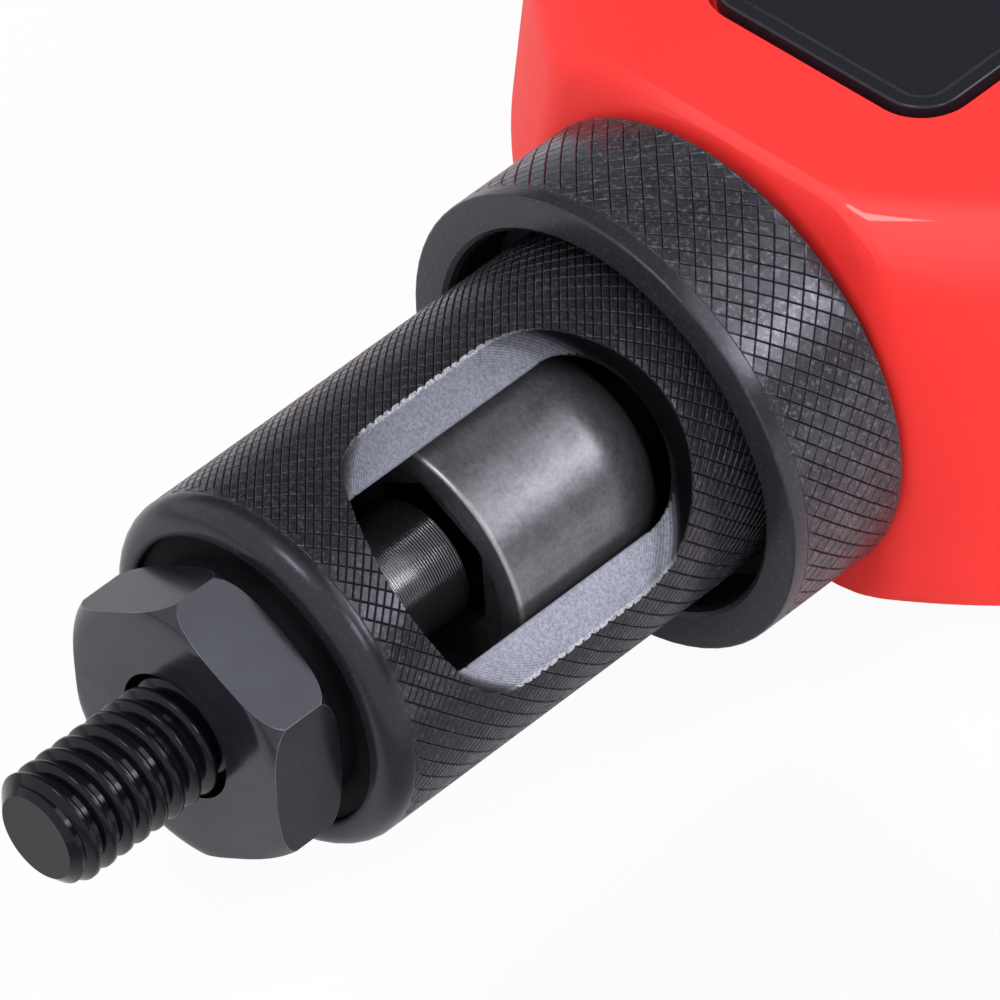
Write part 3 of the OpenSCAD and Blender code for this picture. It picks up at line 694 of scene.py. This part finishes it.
# %% Release spring
WIRE_R, COILS, COIL_STEPS, WIRE_SIDES, RELEASE_TRAVEL = 0.35, 3.5, 36, 10, 3.0
spring_low, spring_high = [Vector(corner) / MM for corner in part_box("release_spring")]
coil_r = (spring_high.x - spring_low.x) / 2 - WIRE_R
spring_l = spring_high.y - spring_low.y
coil_pitch = (spring_l - 2 * WIRE_R) / COILS
draft = bmesh.new()
wire_ring = arc((coil_r, spring_low.y + WIRE_R), WIRE_R, 0, 360, WIRE_SIDES)[:-1]
line = [draft.verts.new((px, py, 0.0)) for px, py in wire_ring]
edges = [draft.edges.new(pair) for pair in zip(line, line[1:] + line[:1])]
bmesh.ops.spin(draft, geom=line + edges, cent=(0, 0, 0), axis=(0, -1, 0),
               dvec=(0, coil_pitch / COIL_STEPS, 0), angle=2 * math.pi * COILS,
               steps=round(COIL_STEPS * COILS))
bmesh.ops.remove_doubles(draft, verts=draft.verts, dist=MERGE)
bmesh.ops.edgenet_fill(draft, edges=[e for e in draft.edges if e.is_boundary])
spring = blank("release_coil", draft)
dress(spring, [bright_steel], "drawbar", ["release_spring"])
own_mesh(spring)

# %% [markdown]
# ## Head
# The head is a casting with drafted, crowned sides: its plan is widest in the middle plane and shrinks
# towards both faces, then rolls over into them. Loops of the plan are stacked and bridged, which keeps
# the long curves of the flanks even. Close to the front the corners are drawn in towards a round
# collar behind the ring, and the hollows are cut out after that.

# %% Head
HEAD_FRONT, HEAD_REAR, HEAD_Z, HEAD_HALF_W = 47.4, 105.8512, 17.1, 39.35
FLANK_R, WIDEST_Y, EDGE_R, CORNER_R, DRAFT = 53.0, 91.2, 4.0, 9.0, 8.0
FRONT_LEAN, FRONT_FILLET, FRONT_STEPS = 0.3, 4.2, 12
LOWER_EDGE_R = 6.0
COLLAR_R, COLLAR_SLOPE, COLLAR_EASE = 17.6, 3.0, 1.2
BUSH_BORE = 9.0
flank_x = HEAD_HALF_W - FLANK_R


def head_plan(inset):
    """Right half of the plan, drawn in by inset, from the front to the rear."""
    r, k = FLANK_R - inset, CORNER_R - inset / 2
    front = HEAD_FRONT + FRONT_LEAN * inset + FRONT_FILLET
    run = WIDEST_Y - front
    meet = -math.degrees(math.asin(run / (r - FRONT_FILLET)))
    fillet_x = flank_x + math.sqrt((r - FRONT_FILLET) ** 2 - run ** 2)
    front_line = [(fillet_x * i / FRONT_STEPS, front - FRONT_FILLET) for i in range(1, FRONT_STEPS)]
    return (front_line + arc((fillet_x, front), FRONT_FILLET, -90, meet, 8)
            + arc((flank_x, WIDEST_Y), r, meet, 0, 40)[1:]
            + arc((HEAD_HALF_W - inset - k, HEAD_REAR - inset - k), k, 0, 90, 12))


draft = bmesh.new()
slope = math.tan(math.radians(DRAFT))


def rolled_edge(edge_r):
    """Heights and insets from the side wall over a rounded edge to the flat face."""
    wall = HEAD_Z - edge_r
    turns = [math.radians(a) for a in range(0, 91, 9)]
    return [(wall + edge_r * math.sin(a), wall * slope + edge_r * (1 - math.cos(a))) for a in turns]


levels = [(-height, inset) for height, inset in reversed(rolled_edge(LOWER_EDGE_R))]
levels += [(0.0, 0.0)] + rolled_edge(EDGE_R)
loops = []
for height, inset in levels:
    half = head_plan(inset)
    ring = [draft.verts.new((px, py, height)) for px, py in half]
    ring += [draft.verts.new((-px, py, height)) for px, py in reversed(half)]
    loops.append([draft.edges.new(pair) for pair in zip(ring, ring[1:] + ring[:1])])
for lower, upper in zip(loops, loops[1:]):
    bmesh.ops.bridge_loops(draft, edges=lower + upper)
for end in (loops[0], loops[-1]):
    bmesh.ops.edgenet_fill(draft, edges=end)
for vert in draft.verts:
    reach = math.hypot(vert.co.x, vert.co.z)
    most = COLLAR_R + COLLAR_SLOPE * (vert.co.y - HEAD_FRONT)
    ease = max(COLLAR_EASE - abs(reach - most), 0.0)
    shrink = (min(reach, most) - ease * ease / (4 * COLLAR_EASE)) / max(reach, 0.1)
    if shrink < 1:
        bmesh.ops.scale(draft, vec=(shrink, 1, shrink), verts=[vert])
head = blank("painted_head", draft)
carve(head, rod("thread_bore", THREAD_BORE, 46, 58), rod("bush_bore", BUSH_BORE, 57, 67))
print("head skin:", len(head.data.polygons), "faces")

# %% [markdown]
# The cavity, the badge's recess and the pin bores follow the CAD sizes. A recess with round corners is
# a grid of one square whose corners are bevelled before it is extruded.

# %% Head hollows
CAVITY_Y, CAVITY_Z, SIDE_WALL = 66.0, 11.1, 6.0
BADGE_HALF_W, BADGE_Y, BADGE_L, BADGE_ROUND, BADGE_TOP = 9.8, 57.2, 38.0, 3.0, 17.5
BADGE_GAP, RECESS_FLOOR, ABOVE_HEAD = 0.6, 15.9, 20
FULCRUM_X, FULCRUM_Y = 14.0, 95.0008
FULCRUM_BORES = (("pin_bore", 5.0, -20, 14.6), ("flange_bore", 7.0, -20, -14.1),
                 ("clip_groove", 7.5, -16.6, -15.7))


def thicken(made, rise):
    """Extrudes the faces of a flat bmesh upwards."""
    raised = bmesh.ops.extrude_face_region(made, geom=made.faces[:])["geom"]
    upper = [item for item in raised if isinstance(item, bmesh.types.BMVert)]
    bmesh.ops.translate(made, vec=(0, 0, rise), verts=upper)


def slab_of(name, outline, low, high):
    """A plate between two heights over an outline in the plan."""
    made = bmesh.new()
    made.faces.new([made.verts.new((px, py, low)) for px, py in outline])
    thicken(made, high - low)
    return blank(name, made)


def rounded_plate(half_w, front, length, corner, low, high):
    """A bmesh of a plate with round corners in the plan."""
    made = bmesh.new()
    bmesh.ops.create_grid(made, x_segments=1, y_segments=1, size=0.5)
    bmesh.ops.scale(made, vec=(2 * half_w, length, 1), verts=made.verts)
    bmesh.ops.translate(made, vec=(0, front + length / 2, low), verts=made.verts)
    bmesh.ops.bevel(made, geom=made.verts[:], offset=corner, offset_type="OFFSET", segments=10,
                    profile=0.5, affect="VERTICES", material=-1)
    thicken(made, high - low)
    return made


def post(name, px, py, radius, low, high):
    """A plain upright cutter."""
    made = bmesh.new()
    bmesh.ops.create_cone(made, cap_ends=True, segments=64, radius1=radius, radius2=radius,
                          depth=high - low)
    bmesh.ops.translate(made, vec=(px, py, (low + high) / 2), verts=made.verts)
    return blank(name, made)


inner_r = FLANK_R - SIDE_WALL
cavity_x = math.sqrt(inner_r ** 2 - (WIDEST_Y - CAVITY_Y) ** 2) + HEAD_HALF_W - FLANK_R
inner = [(cavity_x, CAVITY_Y)]
inner += [point for point in arc((flank_x, WIDEST_Y), inner_r, -60, 0, 40) if point[1] > CAVITY_Y]
inner += [(inner[-1][0], HEAD_REAR + 5)]
outline = inner + [(-px, py) for px, py in reversed(inner)]
tools = [slab_of("cavity", outline, -CAVITY_Z, CAVITY_Z)]
recess = rounded_plate(BADGE_HALF_W + BADGE_GAP, BADGE_Y - BADGE_GAP, BADGE_L + 2 * BADGE_GAP,
                       BADGE_ROUND + BADGE_GAP, RECESS_FLOOR, ABOVE_HEAD)
tools.append(blank("badge_recess", recess))
for side in (-FULCRUM_X, FULCRUM_X):
    tools += [post(name, side, FULCRUM_Y, radius, low, high) for name, radius, low, high in FULCRUM_BORES]
carve(head, *tools)
dress(head, [red_paint], "head", ["head_housing"], sharp=28)
shade = head.modifiers.new("even_shading", "WEIGHTED_NORMAL")
shade.keep_sharp = True

# %% [markdown]
# ## Badge
# The plate let into the top face is glossy black with a raised rim. It stays bare. The rim is an inset
# of the top face that is pushed down inside.

# %% Badge
badge_gloss, w = open_finish("badge_gloss")
place = w.millimetres()
dust = w.noise(place, 3.0, 4.0, 0.7)
close_finish(w, Base_Color=dust.blend((0.010, 0.010, 0.015), (0.018, 0.018, 0.026)),
             Roughness=0.12 + 0.12 * w.noise(place, 0.4), Specular_IOR_Level=0.35,
             Normal=w.bump(dust, 0.002))
RIM_W, RIM_H, RIM_SLOPE = 1.3, 0.3, 0.25
draft = rounded_plate(BADGE_HALF_W, BADGE_Y, BADGE_L, BADGE_ROUND, RECESS_FLOOR, BADGE_TOP)
bmesh.ops.recalc_face_normals(draft, faces=draft.faces)
top = [f for f in draft.faces if f.normal.z > 0.9]
bmesh.ops.inset_region(draft, faces=top, thickness=RIM_W - RIM_SLOPE, depth=0.0, use_even_offset=True)
bmesh.ops.inset_region(draft, faces=top, thickness=RIM_SLOPE, depth=-RIM_H, use_even_offset=True)
badge = blank("bare_badge", draft)
dress(badge, [badge_gloss], "head", ["badge_plate"], sharp=30, soften=0.28)

# %% [markdown]
# ## Grips
# Each grip is a ribbed rubber sleeve, closed at its end. Its ribs are rings, so it is spun round the
# handle, and a bevel rounds every rib. The right one is turned and moved to its handle, and the left
# one is its mirror image.

# %% Grips
rubber, w = open_finish("grip_rubber")
place = w.millimetres()
skin = w.noise(place, 2.5, 4.0, 0.7)
cloud = w.noise(place, 0.06, 3.0)
close_finish(w, Base_Color=cloud.blend((0.014, 0.014, 0.016), (0.030, 0.030, 0.034)),
             Roughness=0.58 + 0.2 * skin, Normal=w.bump(skin, 0.05))
HANDLE_X, TUBE_Y, SPLAY = 34.0, 158.0008, 2.0
TUBE_R, TUBE_L, GRIP_R, GRIP_L, GRIP_END = 10.0, 181.0, 17.1, 121.0, 4.0
RIBS, RIB_PITCH, RIB_W, RIB_D, RIB_SLOPE, FIRST_RIB = 9, 9.0, 6.0, 1.2, 0.6, 22
LIP_ROUND, END_ROUND = 1.5, 4
front, rear = TUBE_L - GRIP_L, TUBE_L + GRIP_END
low_r = GRIP_R - RIB_D
profile = [(TUBE_R, front)] + arc((GRIP_R - 2.5, front + LIP_ROUND), LIP_ROUND, -90, 0, 6)
profile += [(GRIP_R - 1, front + 6), (low_r, front + 10)]
for i in range(RIBS):
    start = front + FIRST_RIB + RIB_PITCH * i
    profile += [(low_r, start - RIB_SLOPE), (GRIP_R, start),
                (GRIP_R, start + RIB_W), (low_r, start + RIB_W + RIB_SLOPE)]
profile += [(low_r, rear - 10), (GRIP_R, rear - 8)]
profile += arc((GRIP_R - END_ROUND, rear - END_ROUND), END_ROUND, 0, 90, 8)
profile += [(0, rear), (0, TUBE_L), (TUBE_R, TUBE_L)]
splay = Matrix.Rotation(math.radians(-SPLAY), 3, "Z")
for name, side in (("left", -1), ("right", 1)):
    draft = turned(bmesh.new(), profile, 96)
    bmesh.ops.rotate(draft, cent=(0, 0, 0), matrix=splay, verts=draft.verts)
    bmesh.ops.translate(draft, vec=(HANDLE_X, TUBE_Y, 0), verts=draft.verts)
    bmesh.ops.scale(draft, vec=(side, 1, 1), verts=draft.verts)
    grip = blank(name + "_ribbed_grip", draft)
    dress(grip, [rubber], name + "_handle", [name + "_grip"], sharp=25, soften=0.5)

# %% [markdown]
# ## Levers, tubes and the works
# The other pieces keep their CAD shape. A CAD mesh is loose triangles, so a copy is merged, its flat
# faces are joined again, and a small bevel breaks the sharp edges that would catch no light. The works
# inside the head only get a finish.

# %% Softened CAD pieces
FLAT_WITHIN = math.radians(0.8)


def softened(node, finish, body, width):
    """A copy of a CAD node with broken edges."""
    made = bmesh.new()
    made.from_mesh(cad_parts[node].data)
    bmesh.ops.scale(made, vec=(1 / MM,) * 3, verts=made.verts)
    bmesh.ops.remove_doubles(made, verts=made.verts, dist=MERGE)
    bmesh.ops.dissolve_limit(made, angle_limit=FLAT_WITHIN, verts=made.verts, edges=made.edges)
    dress(blank(node + "_soft", made), [finish], body, [node], sharp=30, soften=width)


for name in ("left", "right"):
    body = name + "_handle"
    softened(name + "_lever", lever_black, body, 0.5)
    softened(name + "_tube", lever_black, body, 0.3)
    softened(name + "_tube_pins", bright_steel, body, 0.3)

plain = (
    (bright_steel, ("pivot_pins", "drawbar_pin", "crosshead_block", "crosshead_upper_plate",
                    "crosshead_lower_plate", "release_ring", "left_drive_pin", "right_drive_pin")),
    (black_steel, ("pivot_clips", "crosshead_screws")),
    (bronze, ("drawbar_bush", "left_bush", "right_bush")),
    # The drawbar gets the very dark painted shade.
    (shadow_dark_steel, ("drawbar",)),
)
for finish, nodes in plain:
    for node in nodes:
        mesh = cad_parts[node].data
        mesh.materials.clear()
        mesh.materials.append(finish)
print("plain CAD pieces:", sum(len(nodes) for finish, nodes in plain))

# %% [markdown]
# ## Light and floor
# The photograph has a white ground and large soft lights. The floor is white to the camera and still takes
# the shadow of the tool. Two grey patches of painted shade lie on it, one beside the nose and one far out
# on the left. The camera hardly sees them, but the black steel mirrors them as dark reflections, which
# keeps its facets dark. The studio behind the tool is dark in reflections for the same reason. Four soft
# boxes give the highlights: a large one and a narrow one behind on the right, which run along the nose,
# one overhead, and one on the right that meets the edge of the head.

# %% Floor
WHITE = (1.0, 1.0, 1.0, 1.0)
FLOOR_TONE, PAINTED_SHADE_TONE, FLOOR_GLOW, FLOOR_HALF, FLOOR_Y = (0.86,) * 3, (0.40,) * 3, 0.95, 3.0, 0.15
floor_white, w = open_finish("floor_white")
seen = [w.node("ShaderNodeLightPath", out=name) for name in ("Is Camera Ray", "Is Transmission Ray")]
seen = w.math("MINIMUM", seen[0] + seen[1], 1.0)
x, y, _ = w.millimetres().parts()
# Painted shade: two grey patches on the floor that the steel mirrors as dark reflections.
nose_painted_shade = x.band(8.0, 20.0) * x.band(55.0, 42.0) * y.band(46.0, 32.0)
left_painted_shade = 0.6 * x.band(-80.0, -140.0)
tone = w.math("MAXIMUM", nose_painted_shade, left_painted_shade).blend(FLOOR_TONE, PAINTED_SHADE_TONE)
matt = w.node("ShaderNodeBsdfDiffuse", sockets={"Color": tone})
glow = w.node("ShaderNodeEmission", sockets={"Color": WHITE, "Strength": 1.0})
surface = w.node("ShaderNodeMixShader", sockets={0: seen * FLOOR_GLOW, 1: matt, 2: glow})
w.node("ShaderNodeOutputMaterial", sockets={"Surface": surface})
draft = bmesh.new()
bmesh.ops.create_grid(draft, x_segments=1, y_segments=1, size=FLOOR_HALF)
bmesh.ops.translate(draft, vec=(0, FLOOR_Y, cad_low.z), verts=draft.verts)
floor_mesh = bpy.data.meshes.new("floor")
draft.to_mesh(floor_mesh)
draft.free()
floor_mesh.materials.append(floor_white)
floor = bpy.data.objects.new("floor", floor_mesh)
bpy.context.scene.collection.objects.link(floor)

# %% Lights
BRIGHT, DARKENED = 1.08, 0.93
AIM = Vector((0, 0.03, 0))
world = bpy.data.worlds.new("studio")
bpy.context.scene.world = world
world.use_nodes = True
world.node_tree.nodes.clear()
w = Wire(world.node_tree)
_, y, z = w.node("ShaderNodeTexCoord", out="Generated").parts()
dark_wall = z.band(0.02, 0.12) * y.band(-0.15, 0.35)
seen = w.node("ShaderNodeLightPath", out="Is Camera Ray")
studio = BRIGHT - DARKENED * dark_wall
strength = studio + seen * (1 - studio)
glow = w.node("ShaderNodeBackground", sockets={"Color": WHITE, "Strength": strength})
w.node("ShaderNodeOutputWorld", sockets={"Surface": glow})


def soft_box(name, way, distance, width, height, radiance):
    """A rectangular lamp that shines on the nose from the given direction."""
    lamp = bpy.data.lights.new(name, "AREA")
    lamp.shape = "RECTANGLE"
    lamp.size, lamp.size_y = width, height
    lamp.energy = radiance * math.pi * width * height
    box = bpy.data.objects.new(name, lamp)
    way = Vector(way).normalized()
    facing = way.to_track_quat("Z", "Y").to_matrix().to_4x4()
    box.matrix_world = Matrix.Translation(AIM + distance * way) @ facing
    box.visible_camera = False
    bpy.context.scene.collection.objects.link(box)
    print("lamp:", name)


soft_box("large_rear_box", (0.52, 0.50, 0.69), distance=0.95, width=0.60, height=0.60, radiance=2.2)
soft_box("rear_right_box", (0.60, 0.60, 0.53), distance=0.85, width=0.40, height=0.22, radiance=6.5)
soft_box("overhead_box", (-0.02, -0.40, 0.91), distance=1.0, width=0.30, height=0.22, radiance=9.0)
soft_box("front_right_box", (0.77, -0.02, 0.64), distance=0.9, width=0.16, height=0.24, radiance=9.0)
bpy.context.scene.view_settings.view_transform = "Standard"
